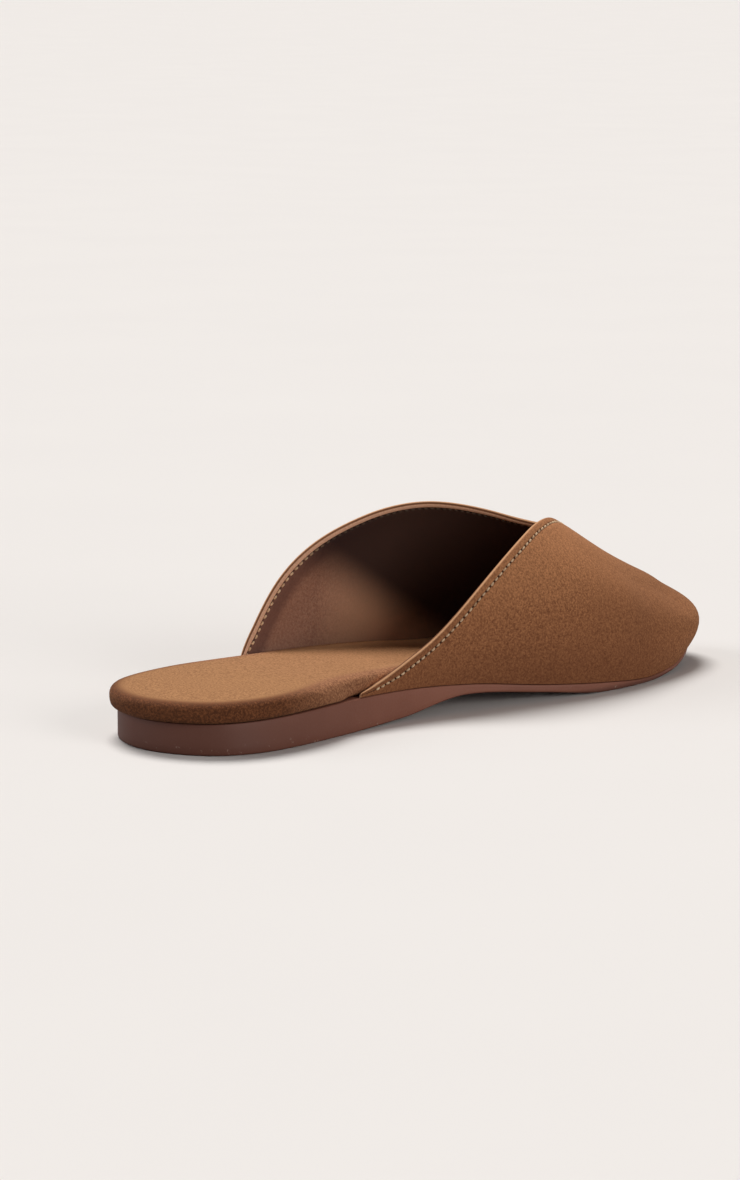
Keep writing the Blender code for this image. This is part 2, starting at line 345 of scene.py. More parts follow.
def level_curve(knots, values):
    """A curve through the values that never overshoots them, so that level stretches stay level."""
    knots = np.asarray(knots, float)
    values = np.asarray(values, float)
    steps = np.diff(knots)
    rises = np.diff(values) / steps
    tangents = np.zeros(len(knots))
    for i in range(1, len(knots) - 1):
        if rises[i - 1] * rises[i] > 0:
            tangents[i] = 2 / (1 / rises[i - 1] + 1 / rises[i])

    def curve(at):
        at = np.asarray(at, float)
        i = np.clip(np.searchsorted(knots, at) - 1, 0, len(knots) - 2)
        u = (at - knots[i]) / steps[i]
        low = values[i] * (1 + 2 * u) * (1 - u) ** 2 + tangents[i] * steps[i] * u * (1 - u) ** 2
        high = values[i + 1] * u**2 * (3 - 2 * u) - tangents[i + 1] * steps[i] * u**2 * (1 - u)
        return low + high

    return curve


def turn_at(station):
    """Turn round the outline, in radians, at which a side reaches this share of the length."""
    return np.arccos(1 - 2 * np.clip(station, 0, 1))


def side_curve(side):
    """Half width of one side over the turn, round at both ends with the named radii."""
    turns = turn_at(column(OUTLINE, OUTLINE_COLUMNS, "station"))
    halves = column(OUTLINE, OUTLINE_COLUMNS, side) * BALL_WIDTH
    heel = math.sqrt(HEEL_END_RADIUS * SHOE_LENGTH / 2)
    toe = math.sqrt(TOE_END_RADIUS * SHOE_LENGTH / 2)
    knots = np.concatenate([[0], turns, [math.pi]])
    fullness = smooth_curve(knots, np.concatenate([[heel], halves / np.sin(turns), [toe]]))
    return lambda turn: np.sin(turn) * fullness(turn)


SIDES = {"medial": side_curve("medial"), "lateral": side_curve("lateral")}
SOLE_STATIONS = column(SOLE, SOLE_COLUMNS, "station")
SOLE_TOP = level_curve(SOLE_STATIONS, column(SOLE, SOLE_COLUMNS, "top") * HEEL_HEIGHT)
SOLE_BOTTOM = level_curve(SOLE_STATIONS, column(SOLE, SOLE_COLUMNS, "bottom") * HEEL_HEIGHT)
RIDGE_TURNS = turn_at(column(RIDGE, RIDGE_COLUMNS, "station"))
RIDGE_RISE = smooth_curve(RIDGE_TURNS, column(RIDGE, RIDGE_COLUMNS, "rise") * INSTEP_HEIGHT)
RIDGE_OFFSET = smooth_curve(
    RIDGE_TURNS, column(RIDGE, RIDGE_COLUMNS, "offset") * BALL_WIDTH / 2
)


def outline(turn):
    """Points of the sole's top edge in plan, for turns from 0 at the heel through pi at the toe."""
    turn = np.asarray(turn, float)
    medial = turn <= math.pi
    folded = np.where(medial, turn, 2 * math.pi - turn)
    x = np.where(medial, SIDES["medial"](folded), -SIDES["lateral"](folded))
    y = SHOE_LENGTH * (1 - np.cos(folded)) / 2
    return np.stack([x, y], -1)


def outward(turn):
    """Unit normals of the outline in plan."""
    step = 1e-3
    along = outline(np.mod(turn + step, 2 * math.pi)) - outline(np.mod(turn - step, 2 * math.pi))
    normal = np.stack([along[..., 1], -along[..., 0]], -1)
    return normal / np.linalg.norm(normal, axis=-1, keepdims=True)


def station_of(plan):
    """Share of the sole's length at which a plan point lies."""
    return np.clip(plan[..., 1] / SHOE_LENGTH, 0, 1)


def roundness(lateral):
    return np.where(lateral, SECTION_ROUNDNESS_LATERAL, SECTION_ROUNDNESS_MEDIAL)


def section_plan(angle, station):
    """Plan point of the last at an angle round the section, 0 at the medial edge."""
    turn = turn_at(station)
    lateral = angle > math.pi / 2
    edge = np.where(lateral, -SIDES["lateral"](turn), SIDES["medial"](turn))
    share = np.abs(np.cos(angle)) ** (2 / roundness(lateral))
    x = RIDGE_OFFSET(turn) * (1 - share) + edge * share
    return np.stack([x, station * SHOE_LENGTH], -1)


def section_rise(plan):
    """Share of the ridge's rise that the last has over a plan point."""
    turn = turn_at(station_of(plan))
    from_ridge = plan[..., 0] - RIDGE_OFFSET(turn)
    lateral = from_ridge < 0
    edge = np.where(lateral, -SIDES["lateral"](turn), SIDES["medial"](turn))
    span = np.abs(edge - RIDGE_OFFSET(turn))
    share = np.clip(np.abs(from_ridge) / np.maximum(span, 1e-6), 0, 1)
    return np.clip(1 - share ** roundness(lateral), 0, 1) ** (1 / SECTION_ROUNDNESS_TOP)


def rib_values():
    """Foot turns, topline angles and topline stations of all ribs, evenly spread."""
    foot = np.radians(column(RIBS, RIB_COLUMNS, "foot_turn"))
    angle = smooth_curve(foot, np.radians(column(RIBS, RIB_COLUMNS, "top_angle")))
    station = smooth_curve(foot, column(RIBS, RIB_COLUMNS, "top_station"))
    dense = np.linspace(foot[0], foot[-1], 3000)
    ends = np.concatenate([outline(dense), section_plan(angle(dense), station(dense))], -1)
    walked = walked_along(ends)
    turns = np.interp(np.linspace(0, walked[-1], RIB_COUNT), walked, dense)
    return turns, angle(turns), station(turns)


def last_surface():
    """Points of the upper's outer face: samples from the topline down, one column a rib."""
    turns, angles, stations = rib_values()
    foot = outline(turns)
    top = section_plan(angles, stations)
    normals = outward(turns)
    lateral = turns > math.pi
    climb = np.clip(np.where(lateral, math.pi - angles, angles), 0, math.pi / 2)
    power = 2 / roundness(lateral)
    toe_share = np.clip((station_of(foot) - TOE_BULGE_FROM) / (1 - TOE_BULGE_FROM), 0, 1)
    bulge = WALL_BULGE + (TOE_BULGE - WALL_BULGE) * toe_share**2
    full_height = RIDGE_RISE(turn_at(np.minimum(station_of(foot), TOE_BOX_STATION)))
    last = np.cos(climb) ** power
    rows = []
    for step in np.linspace(1, 0, RIB_SAMPLES):
        along = (np.cos(climb * step) ** power - last) / (1 - last)
        plan = top + (foot - top) * along[:, None]
        climbed = section_rise(plan) * RIDGE_RISE(turn_at(station_of(plan)))
        swell = np.clip(climbed / full_height, 0, 1)
        lean = BULGE_SHAPE * swell * (1 - swell**2) ** 2 * bulge
        height = SOLE_TOP(station_of(plan)) + CLEARANCE + climbed
        rows.append(np.column_stack([plan + normals * lean[:, None], height]))
    return np.array(rows)


# Mesh making

def deselect_all():
    for obj in bpy.context.selected_objects:
        obj.select_set(False)


def make_active(obj):
    deselect_all()
    obj.select_set(True)
    bpy.context.view_layer.objects.active = obj


def unit(vectors):
    return vectors / np.maximum(np.linalg.norm(vectors, axis=-1, keepdims=True), 1e-12)


def grid_piece(name, points):
    """A grid whose vertices lie on rows of points, with each vertex's column and row."""
    points = np.asarray(points, float)
    rows, columns = points.shape[:2]
    deselect_all()
    bpy.ops.mesh.primitive_grid_add(
        x_subdivisions=columns - 1, y_subdivisions=rows - 1, size=1, calc_uvs=True
    )
    piece = bpy.context.active_object
    piece.name = name
    mesh = piece.data
    mesh.name = name
    flat = np.empty(len(mesh.vertices) * 3)
    mesh.vertices.foreach_get("co", flat)
    flat = flat.reshape(-1, 3)
    i = np.rint((flat[:, 0] + 0.5) * (columns - 1)).astype(int)
    j = np.rint((flat[:, 1] + 0.5) * (rows - 1)).astype(int)
    mesh.vertices.foreach_set("co", points[j, i].ravel())
    mesh.update()
    return piece, i, j


def merge_doubles(piece):
    make_active(piece)
    bpy.ops.object.mode_set(mode="EDIT")
    bpy.ops.mesh.select_all(action="SELECT")
    bpy.ops.mesh.remove_doubles(threshold=MERGE_DISTANCE)
    bpy.ops.mesh.normals_make_consistent(inside=False)
    bpy.ops.object.mode_set(mode="OBJECT")


def smooth_shade(piece, degrees=50):
    make_active(piece)
    bpy.ops.object.shade_smooth_by_angle(angle=math.radians(degrees))


def store_values(piece, name, values):
    """Keeps one number for each vertex, for the materials to read."""
    layer = piece.data.attributes.new(name, "FLOAT", "POINT")
    layer.data.foreach_set("value", np.asarray(values, float))


# The upper

def grid_normals(points):
    """Outward normals of a grid of points whose rows go down and columns go round by the toe."""
    down = np.gradient(points, axis=0)
    around = np.gradient(points, axis=1)
    return unit(np.cross(down, around))


def distance_to_line(points, line):
    tree = KDTree(len(line))
    for i, point in enumerate(line):
        tree.insert(point, i)
    tree.balance()
    flat = points.reshape(-1, 3)
    return np.array([tree.find(point)[2] for point in flat]).reshape(points.shape[:-1])


def point_at(line, walked, at):
    """Point of a line at a distance walked along it, or points at many distances."""
    return np.stack([np.interp(at, walked, line[:, k]) for k in range(3)], -1)


def dense_line(points, count):
    """The same line with many evenly spaced points."""
    walked = walked_along(points)
    return point_at(points, walked, np.linspace(0, walked[-1], count))


def points_down_ribs(samples, walked, targets):
    """Points on each rib at the walked distances of the targets; the ribs are the columns."""
    found = np.empty((len(targets), samples.shape[1], 3))
    for i in range(samples.shape[1]):
        found[:, i] = point_at(samples[:, i], walked[:, i], targets[:, i])
    return found


def upper_sheet(origin):
    """Outer points of the upper by distance from the topline: hem rows first, then the body's.

    Gives the points, their normals, the hem's share of its full width at each rib, and the
    distance walked down each rib.
    """
    samples = last_surface() + np.array(origin)
    distance = distance_to_line(samples, dense_line(samples[0], TOPLINE_POINTS))
    distance[0] = 0
    distance = np.maximum.accumulate(distance, axis=0)
    distance += np.arange(len(distance))[:, None] * LEAST_STEP
    steps = np.linalg.norm(np.diff(samples, axis=0), axis=2)
    walked = np.concatenate([np.zeros((1, steps.shape[1])), np.cumsum(steps, axis=0)])
    shrink = np.clip(distance[-1] / (HEM_REACH * HEM_ROOM), LEAST_HEM, 1)
    hem = column(HEM, HEM_COLUMNS, "distance")[:, None] * MM * shrink[None, :]
    hem_walk = np.empty_like(hem)
    for i in range(hem.shape[1]):
        hem_walk[:, i] = np.interp(hem[:, i], distance[:, i], walked[:, i])
    left = walked[-1] - hem_walk[-1]
    shares = np.linspace(0, 1, BODY_ROWS + 1)[1:]
    walks = np.concatenate([hem_walk, hem_walk[-1] + shares[:, None] * left])
    points = points_down_ribs(samples, walked, walks)
    return points, grid_normals(points), shrink, walks


def soft_noise(points, layers):
    """Layers of soft noise over the points, in millimetres."""
    heights = [
        sum(
            rise * noise.noise(Vector(point) * scale + Vector(shift))
            for rise, scale, shift in layers
        )
        for point in points.reshape(-1, 3)
    ]
    return np.array(heights).reshape(points.shape[:-1])


def fold_heights(points, origin):
    """How far the creases lift or sink each point of the upper, in metres."""
    along = (points[..., 1] - origin[1]) / MM
    above = points[..., 2] / MM
    aside = (points[..., 0] - origin[0]) / MM
    heights = np.zeros(points.shape[:-1])
    for side, from_y, from_z, to_y, to_z, width, rise in FOLDS:
        run = np.array([to_y - from_y, to_z - from_z])
        length = np.linalg.norm(run)
        run = run / length
        ahead = (along - from_y) * run[0] + (above - from_z) * run[1]
        beside = (above - from_z) * run[0] - (along - from_y) * run[1]
        past = np.maximum(np.maximum(-ahead, ahead - length), 0)
        near = np.exp(-((beside / width) ** 2) - (past / (FOLD_END * width)) ** 2)
        heights += rise * near * np.clip(aside * side / FOLD_SIDE_FROM, 0, 1)
    return heights * MM


def hem_swell(name, shape, shrink):
    """Swelling of one face by row and rib, in metres: the table's over the hem, none below."""
    swell = np.zeros(shape)
    swell[: len(HEM)] = column(HEM, HEM_COLUMNS, name)[:, None] * MM * shrink
    return swell


def draw_in(swell, line, shrink):
    """Sinks the rows round the seam where each stitch pulls them."""
    pull = 0.5 + 0.5 * np.cos(2 * math.pi * walked_along(line) / STITCH_PITCH)
    for row, depth in PUCKERS:
        swell[row] -= depth * MM * pull * shrink


def corner_taper(count):
    """Share of the wall's thickness at each rib, rounded off at the two corners by the heel."""
    ends = np.linspace(0, 1, CORNER_RIBS)
    rounded = np.sqrt(1 - (1 - ends) ** 2)
    taper = np.ones(count)
    taper[:CORNER_RIBS] = rounded
    taper[-CORNER_RIBS:] = rounded[::-1]
    return taper


def half_turn(count):
    """Angles spread over a half turn, without its two ends."""
    return np.linspace(0, math.pi, count + 2)[1:-1]


def make_upper(origin):
    """The upper as one closed wall: outer face, rim, lining and low edge, joined in a loop."""
    points, normals, shrink, walks = upper_sheet(origin)
    shape = points.shape[:2]
    outer_swell = hem_swell("outer", shape, shrink)
    inner_swell = hem_swell("inner", shape, shrink)
    draw_in(outer_swell, points[SEAM_ROW], shrink)
    waves = soft_noise(points, UPPER_WAVES) * MM + fold_heights(points, origin)
    fade = np.clip(walks / WAVE_FADE, 0, 1) * np.clip((walks[-1] - walks) / WAVE_FADE, 0, 1)
    outer_swell += waves * fade
    thickness = UPPER_WALL * np.clip(shrink * 2.5, 0.35, 1)
    taper = corner_taper(shape[1])
    middle = points - normals * thickness[None, :, None] / 2
    half = (thickness * taper / 2)[None, :, None]
    outer = middle + normals * (half + (outer_swell * taper)[..., None])
    inner = middle - normals * (half + (inner_swell * taper)[..., None])
    beyond = unit(points[0] - points[1])
    rim = []
    for angle in half_turn(RIM_ROWS):
        turned = normals[0] * math.cos(angle) + beyond * math.sin(angle)
        rim.append(middle[0] + turned * half[0])
    down = unit(points[-1] - points[-2])
    low = []
    for angle in half_turn(LOW_ROWS):
        turned = normals[-1] * math.cos(angle)
        sunk = math.sin(angle) * LOW_ROUNDING * taper
        low.append(middle[-1] + turned * half[-1] + down * sunk[:, None])
    loop = np.concatenate([outer[::-1], rim, inner, low[::-1], outer[-1:]])
    piece, i, j = grid_piece("suede_upper", loop)
    store_loop_values(piece, i, j, walks)
    merge_doubles(piece)
    smooth_shade(piece, 60)
    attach(piece, "root")
    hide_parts("upper")
    return piece, outer, inner, normals, shrink


def store_loop_values(piece, i, j, walks):
    """Keeps the distance from the edge and the way over the rim, and gives the lining its faces."""
    rows, hem_rows = len(walks), len(HEM)
    hem = column(HEM, HEM_COLUMNS, "distance") * MM
    face = np.empty(walks.shape)
    face[:hem_rows] = hem[:, None]
    face[hem_rows:] = HEM_REACH + (walks[hem_rows:] - walks[hem_rows - 1])
    rim = hem[0] * np.abs(np.cos(half_turn(RIM_ROWS)))[:, None] * np.ones(walks.shape[1])
    low = np.repeat(face[-1:], LOW_ROWS + 1, axis=0)
    distance = np.concatenate([face[::-1], rim, face, low])
    store_values(piece, "from_edge", distance[j, i])
    over = np.linspace(0, 1, RIM_ROWS + 2)[1:-1]
    inside = np.concatenate([np.zeros(rows), over, np.ones(rows), np.zeros(LOW_ROWS + 1)])
    store_values(piece, "over_rim", inside[j])
    lining_from = rows + RIM_ROWS + SUEDE_ROWS_INSIDE
    lining_to = 2 * rows + RIM_ROWS
    for polygon in piece.data.polygons:
        row = min(j[k] for k in polygon.vertices)
        polygon.material_index = 1 if lining_from <= row < lining_to else 0


def stitch_shape():
    """One stitch of thread, lying along X, bowed up in the middle and sunk at its ends."""
    deselect_all()
    bpy.ops.mesh.primitive_uv_sphere_add(segments=8, ring_count=8, radius=1)
    shape = bpy.context.active_object
    make_active(shape)
    bpy.ops.transform.rotate(value=math.pi / 2, orient_axis="Y", center_override=(0, 0, 0))
    bpy.ops.object.transform_apply(location=False, rotation=True, scale=False)
    for vertex in shape.data.vertices:
        x, y, z = vertex.co
        blunt = (1 - abs(x) ** STITCH_BLUNTNESS) ** (1 / STITCH_BLUNTNESS)
        full = min(blunt / max((1 - x * x) ** 0.5, 1e-3), 3)
        vertex.co.x = x * STITCH_LENGTH / 2
        vertex.co.y = y * full * STITCH_THICKNESS / 2
        vertex.co.z = z * full * STITCH_THICKNESS / 2 - STITCH_BOW * abs(x) ** 2.5
    return shape


def make_stitches(name, line, normals, hem_share, slant):
    """A row of stitches along a line, joined into one piece; none where the hem is too narrow."""
    walked = walked_along(line)
    places = np.arange(STITCH_PITCH / 2, walked[-1], STITCH_PITCH)
    shape = stitch_shape()
    copies = []
    for number, at in enumerate(places):
        if np.interp(at, walked, hem_share) < STITCHED_HEM_FROM:
            continue
        ahead = point_at(line, walked, at + STITCH_SPAN / 2)
        behind = point_at(line, walked, at - STITCH_SPAN / 2)
        along = Vector(unit(ahead - behind))
        up = Vector(unit(point_at(normals, walked, at)))
        side = up.cross(along).normalized()
        up = along.cross(side)
        wobble = noise.noise(Vector((number * 0.73, 2.1, 5.7)))
        turned = Matrix.Rotation(slant + STITCH_WOBBLE * wobble, 4, up)
        basis = Matrix((along, side, up)).transposed().to_4x4()
        middle = Vector((ahead + behind) / 2) + up * STITCH_LIFT
        copy = shape.copy()
        copy.data = shape.data.copy()
        copy.data.transform(Matrix.Translation(middle) @ turned @ basis)
        bpy.context.scene.collection.objects.link(copy)
        copies.append(copy)
    bpy.data.objects.remove(shape, do_unlink=True)
    deselect_all()
    for copy in copies:
        copy.select_set(True)
    bpy.context.view_layer.objects.active = copies[0]
    bpy.ops.object.join()
    piece = bpy.context.active_object
    piece.name = name
    piece.data.name = name
    smooth_shade(piece, 80)
    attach(piece, "root")
    return piece


# The footbed

def ring_turns(count):
    """Turns of a closed ring, its spine points, outline and normals in plan."""
    turns = np.linspace(0, 2 * math.pi, count + 1)
    station = np.clip((1 - np.cos(turns)) / 2, SPINE_START, SPINE_END)
    spine = np.stack([0 * station, station * SHOE_LENGTH], -1)
    return turns, spine, outline(turns), outward(np.mod(turns, 2 * math.pi))


def pad_overhang(turns, height):
    """How far the footbed reaches past the sole: over it at the heel, inside the upper in front.

    The top edge draws in first and the foot of the side last, so that the side slants there.
    """
    station = (1 - np.cos(turns)) / 2
    back = np.clip(np.cos(turns), 0, 1) ** 4
    outside = FOOTBED_SIDE_OVERHANG + (FOOTBED_BACK_OVERHANG - FOOTBED_SIDE_OVERHANG) * back
    inside = -(UPPER_WALL + PAD_FIT)
    start = PAD_FOOT_IN_FROM + (PAD_TOP_IN_FROM - PAD_FOOT_IN_FROM) * min(height, 1)
    share = np.clip((station - start) / (PAD_INSIDE_AT - start), 0, 1)
    return outside + (inside - outside) * share * share * (3 - 2 * share)


def pad_waves(rows):
    """Slight unevenness of foam under suede, on the upper half alone."""
    top = np.clip((rows[..., 2] - rows[..., 2].min(axis=0)) / FOOTBED_THICKNESS * 2 - 1, 0, 1)
    return soft_noise(rows, PAD_WAVES) * top * MM


def make_footbed(origin):
    """Underside from the spine out, rounded side, and a crowned top back to the spine."""
    turns, spine, plan, normals = ring_turns(PAD_POINTS)
    body = FOOTBED_THICKNESS - CLEARANCE

    def ring(ring_plan, share):
        lift = CLEARANCE + share * body
        return np.column_stack([ring_plan, SOLE_TOP(station_of(ring_plan)) + lift])

    def edge_at(height):
        return plan + normals * pad_overhang(turns, height)[:, None]

    edge = edge_at(0)
    rows = [ring(spine + (edge - spine) * k, 0) for k in PAD_UNDER]
    for inset, height in PAD_EDGE:
        edge = edge_at(height)
        rows.append(ring(edge - normals * inset * FOOTBED_THICKNESS, height))
    rim = edge - normals * PAD_EDGE[-1][0] * FOOTBED_THICKNESS
    for k in np.linspace(0, 1, PAD_TOP_ROWS + 1)[1:]:
        crown = 1.003 + PAD_CROWN * math.sin(math.pi * min(1, k * 1.6) / 2)
        rows.append(ring(rim + (spine - rim) * k, crown))
    rows = np.array(rows) + np.array(origin)
    rows[..., 2] += pad_waves(rows)
    piece, _, j = grid_piece("suede_footbed", rows)
    # Rows of the footbed's side, which its material paints in shade
    side = np.array([
        1 if height < 0.7 else np.clip(1.15 - inset * 1.3, 0, 1) for inset, height in PAD_EDGE
    ])
    on_side = np.concatenate([np.ones(len(PAD_UNDER)), side, np.zeros(PAD_TOP_ROWS)])
    store_values(piece, "on_side", on_side[j])
    merge_doubles(piece)
    smooth_shade(piece, 60)
    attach(piece, "root")
    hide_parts("footbed")
    return piece


# The sole

def make_sole(origin):
    """Underside from the spine out, rounded edges with a wall between them, and the top."""
    spine, plan, normals = ring_turns(SOLE_POINTS)[1:]

    def ring(ring_plan, surface, lift):
        return np.column_stack([ring_plan, surface(station_of(ring_plan)) + lift])

    low_edge = plan - normals * SOLE_EDGE_RINGS[0][0] * SOLE_EDGE
    high_edge = plan - normals * SOLE_EDGE_RINGS[-1][0] * SOLE_EDGE
    lower = [ring(spine + (low_edge - spine) * k, SOLE_BOTTOM, 0) for k in SOLE_UNDER]
    upper_rows = []
    for inset, above, below in SOLE_EDGE_RINGS:
        ring_plan = plan - normals * inset * SOLE_EDGE
        if below is None:
            lower.append(ring(ring_plan, SOLE_BOTTOM, above * SOLE_EDGE))
        else:
            upper_rows.append(ring(ring_plan, SOLE_TOP, -below * SOLE_EDGE))
    walls = [lower[-1] + (upper_rows[0] - lower[-1]) * k for k in SOLE_WALL]
    top = [ring(high_edge + (spine - high_edge) * k, SOLE_TOP, 0) for k in SOLE_OVER]
    rows = np.array(lower + walls + upper_rows + top) + np.array(origin)
    piece = grid_piece("moulded_sole", rows)[0]
    merge_doubles(piece)
    smooth_shade(piece, 50)
    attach(piece, "root")
    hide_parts("outsole")
    return piece


# Node groups and materials

def new_group(name, inputs, outputs):
    tree = bpy.data.node_groups.new(name, "ShaderNodeTree")
    for kind, label, value in inputs:
        socket = tree.interface.new_socket(label, in_out="INPUT", socket_type=kind)
        if value is not None:
            socket.default_value = value
    for kind, label in outputs:
        tree.interface.new_socket(label, in_out="OUTPUT", socket_type=kind)
    start = tree.nodes.new("NodeGroupInput")
    end = tree.nodes.new("NodeGroupOutput")
    return tree, start, end


def add_node(tree, kind, **settings):
    node = tree.nodes.new(kind)
    for name, value in settings.items():
        setattr(node, name, value)
    return node


def join(tree, source, target):
    tree.links.new(source, target)


def set_or_join(tree, socket, value):
    """Sets a socket to a plain value, or joins another socket to it."""
    if isinstance(value, (int, float, tuple)):
        socket.default_value = value
    else:
        join(tree, value, socket)


def set_inputs(tree, node, **values):
    """Sets or joins inputs by their labels, with underscores for spaces."""
    for label, value in values.items():
        set_or_join(tree, node.inputs[label.replace("_", " ")], value)


def noise_of(tree, vector, scale, detail, rough):
    node = add_node(tree, "ShaderNodeTexNoise")
    set_inputs(tree, node, Vector=vector, Scale=scale, Detail=detail, Roughness=rough)
    return node.outputs[0]


def ranged(tree, value, low, high, to_low=0.0, to_high=1.0):
    node = add_node(tree, "ShaderNodeMapRange")
    set_inputs(tree, node, Value=value, From_Min=low, From_Max=high, To_Min=to_low, To_Max=to_high)
    return node.outputs["Result"]


def maths(tree, operation, first, second):
    node = add_node(tree, "ShaderNodeMath", operation=operation)
    set_or_join(tree, node.inputs[0], first)
    set_or_join(tree, node.inputs[1], second)
    return node.outputs[0]


# Sockets of the colour mix node
MIX_FACTOR = 0
MIX_FIRST = 6
MIX_SECOND = 7
MIX_RESULT = 2


def mixed(tree, factor, first, second):
    node = add_node(tree, "ShaderNodeMix", data_type="RGBA")
    set_or_join(tree, node.inputs[MIX_FACTOR], factor)
    set_or_join(tree, node.inputs[MIX_FIRST], first)
    set_or_join(tree, node.inputs[MIX_SECOND], second)
    return node.outputs[MIX_RESULT]


# Nap: share of the coarse noise in a fleck, scale of its fine noise, and how much finer than
# the coarse noise the specks are
COARSE_SHARE = 0.66
FINE_SCALE = 3600
SPECK_FINENESS = 1.7


def nap_group():
    """Brushed nap: patches where it lies another way, fine flecks of fibre, and its height."""
    inputs = (
        ("NodeSocketVector", "Vector", None),
        ("NodeSocketFloat", "Fleck Scale", 900.0),
        ("NodeSocketFloat", "Patch Scale", 30.0),
    )
    outputs = (
        ("NodeSocketFloat", "Fleck"),
        ("NodeSocketFloat", "Patch"),
        ("NodeSocketFloat", "Speck"),
        ("NodeSocketFloat", "Height"),
    )
    tree, start, end = new_group("brushed_nap", inputs, outputs)
    place = start.outputs["Vector"]
    fleck_scale = start.outputs["Fleck Scale"]
    speck_scale = maths(tree, "MULTIPLY", fleck_scale, SPECK_FINENESS)
    coarse = noise_of(tree, place, fleck_scale, 3, 0.7)
    fine = noise_of(tree, place, FINE_SCALE, 2, 0.6)
    speck = noise_of(tree, place, speck_scale, 2, 0.6)
    patch = noise_of(tree, place, start.outputs["Patch Scale"], 3, 0.55)
    coarse_part = maths(tree, "MULTIPLY", coarse, COARSE_SHARE)
    fine_part = maths(tree, "MULTIPLY", fine, 1 - COARSE_SHARE)
    fleck = maths(tree, "ADD", coarse_part, fine_part)
    join(tree, ranged(tree, fleck, 0.385, 0.615), end.inputs["Fleck"])
    join(tree, ranged(tree, speck, 0.60, 0.70), end.inputs["Speck"])
    join(tree, ranged(tree, patch, 0.3, 0.7), end.inputs["Patch"])
    join(tree, fleck, end.inputs["Height"])
    return tree


# Looks of the materials. Colours are linear. A fade is (from, to, strength at from, strength at to)
# over a place in metres, a value kept on the piece or a noise; the strengths are 0 and 1 if unsaid.
# The finish is (roughness, specular), the relief (strength, metres), a noise (scale, detail, rough).

VAMP_LOOK = {
    "finish": (0.92, 0.25),
    "relief": (0.5, 0.35 * MM),
    "fleck_scale": 1300.0,
    "patch_scale": 24.0,
    "dark": (0.19, 0.064, 0.025),
    "light": (0.70, 0.300, 0.124),
    "worn": (0.42, 0.165, 0.066),
    # Painted shade: the vamp darker low down, fading out towards the toe
    "low": (0.150, 0.044, 0.017),
    "low_shade_over_z": (44 * MM, 10 * MM, 0.0, 0.58),
    "low_shade_over_y": (70 * MM, 118 * MM, 1.0, 0.0),
    # Painted light: the vamp paler high up
    "high": (0.66, 0.30, 0.135),
    "top_light_over_z": (30 * MM, 50 * MM, 0.0, 0.30),
    # Painted shade over the toe, stronger further forward and higher up
    "toe": (0.19, 0.072, 0.028),
    "toe_shade_over_y": (35 * MM, 110 * MM, 0.0, 0.46),
    "toe_shade_over_z": (12 * MM, 26 * MM),
    "hem": (0.17, 0.058, 0.022),
    "hem_from_edge": (2.6 * MM, 1.4 * MM, 0.0, 0.22),
    # Painted highlight along the crest of the rim
    "lit_edge": (0.80, 0.45, 0.24),
    "lit_edge_starts": (0.12, 0.26),
    "lit_edge_ends": (0.50, 0.42, 0.0, 0.7),
    "dark_edge": (0.12, 0.045, 0.022),
    "dark_edge_starts": (0.42, 0.50),
    "dark_edge_ends": (0.74, 0.66, 0.0, 0.8),
    # Paler suede turned in over the rim, with a painted highlight on it, varied by the flecks
    "turned_in_highlight": (0.86, 0.53, 0.36),
    "turned_in_highlight_starts": (0.70, 0.80),
    "turned_in_highlight_flecks": (0.0, 1.0, 0.65, 0.95),
    "seam": (0.03, 0.010, 0.005),
    "seam_aside": (0.2 * MM, 0.62 * MM, 0.94, 0.0),
    "seam_outside": (0.5, 0.1),
}
FOOTBED_LOOK = {
    "finish": (0.92, 0.25),
    "relief": (0.5, 0.35 * MM),
    "fleck_scale": 1350.0,
    "patch_scale": 35.0,
    "dark": (0.22, 0.088, 0.034),
    "light": (0.58, 0.29, 0.125),
    "worn": (0.45, 0.215, 0.088),
    # Painted shade on the footbed's side, flecked between a dim and a bright colour, darker at the
    # heel than at the waist
    "heel_dim": (0.058, 0.016, 0.006),
    "heel_bright": (0.255, 0.088, 0.032),
    "waist_dim": (0.18, 0.066, 0.031),
    "waist_bright": (0.51, 0.230, 0.110),
    "waist_over_y": (-95 * MM, -70 * MM),
    "side_shade_by_fleck": (0.0, 1.0, -0.35, 0.2),
    "side_shade_at_waist": 0.35,
    "side_shade": (0.25, 0.75),
    # Painted light on the footbed along its inner edges, under the walls
    "painted_wall_light": (0.96, 0.56, 0.28),
    "painted_wall_light_over_x": (14 * MM, 27 * MM, 0.0, 0.85),
    "painted_wall_light_over_y": (-45 * MM, -12 * MM),
}
LINING_LOOK = {
    "finish": (0.7, 0.35),
    "relief": (0.35, 0.25 * MM),
    "fleck_scale": 1100.0,
    "patch_scale": 45.0,
    "dark": (0.23, 0.102, 0.062),
    "light": (0.41, 0.212, 0.134),
    "patch": (0.285, 0.128, 0.082),
    "patch_share": 0.4,
    # Painted shade on the lining along its rim
    "rim_shade": (0.13, 0.052, 0.038),
    "rim_shade_from_edge": (6.5 * MM, 12 * MM, 0.72, 0.0),
    # Painted light on the lining partway into the shoe
    "lining_light": (0.82, 0.45, 0.27),
    "lining_light_over_y": (-22 * MM, 10 * MM, 0.0, 0.95),
    # Painted shade deep in the shoe
    "deep": (0.020, 0.006, 0.006),
    "deep_shade_share": 0.96,
    "seam": (0.012, 0.006, 0.005),
    "seam_from_edge": (2.2 * MM, 2.9 * MM, 0.9, 0.0),
}
